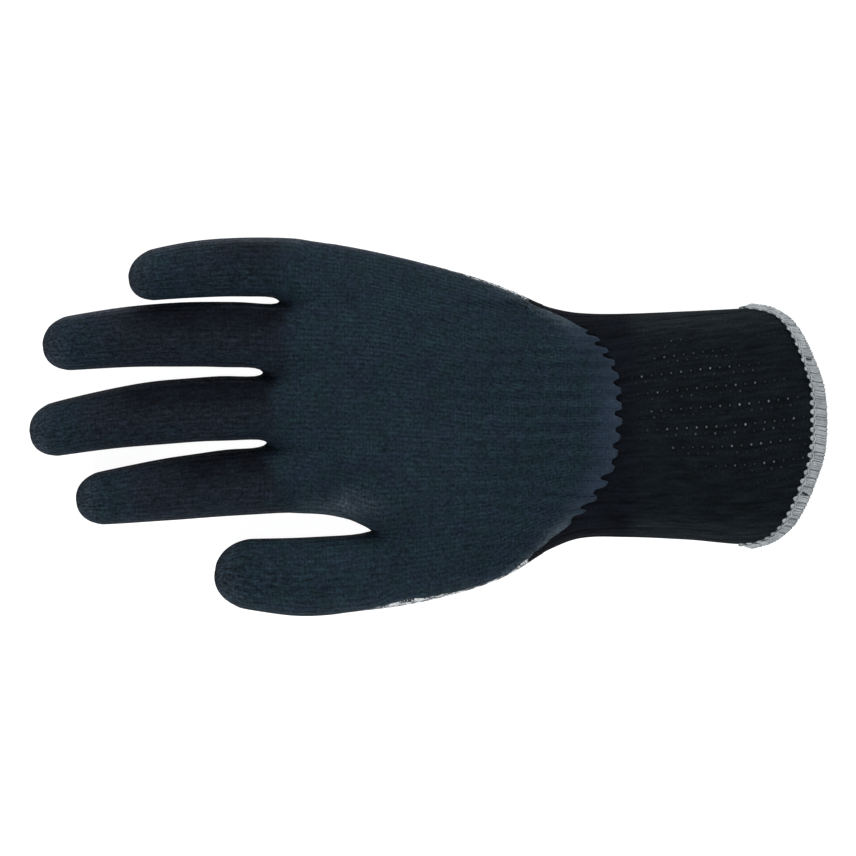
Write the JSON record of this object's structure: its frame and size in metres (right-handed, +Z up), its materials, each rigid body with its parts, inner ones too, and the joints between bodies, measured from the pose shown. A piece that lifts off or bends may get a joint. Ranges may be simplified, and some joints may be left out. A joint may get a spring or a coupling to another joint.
{
  "type": "coated work glove",
  "caption": "Left-hand coated work glove lying palm up: a seamless knitted hand, a dark foam-rubber coating over palm and fingers, a ribbed knit cuff and a grey overlocked hem.",
  "frame": {"origin": "middle of the glove's footprint, on the surface that its back rests on", "axes": "+X from the fingertips to the cuff's mouth, +Y from the thumb to the little finger, +Z up, out of the palm"},
  "size_m": [0.2501, 0.1185, 0.0303],
  "materials": {
    "knit": "matt marled knit",
    "coating": "matt sandy foam",
    "rib": "matt rib knit",
    "hem_thread": "overlock thread"
  },
  "bodies": {
    "root": {"knit_palm": "knit", "knit_little": "knit", "knit_ring": "knit", "knit_middle": "knit", "knit_index": "knit", "knit_thumb": "knit", "palm_coating": "coating", "knit_cuff": "rib", "hem_overlock": "hem_thread"}
  },
  "joints": []
}
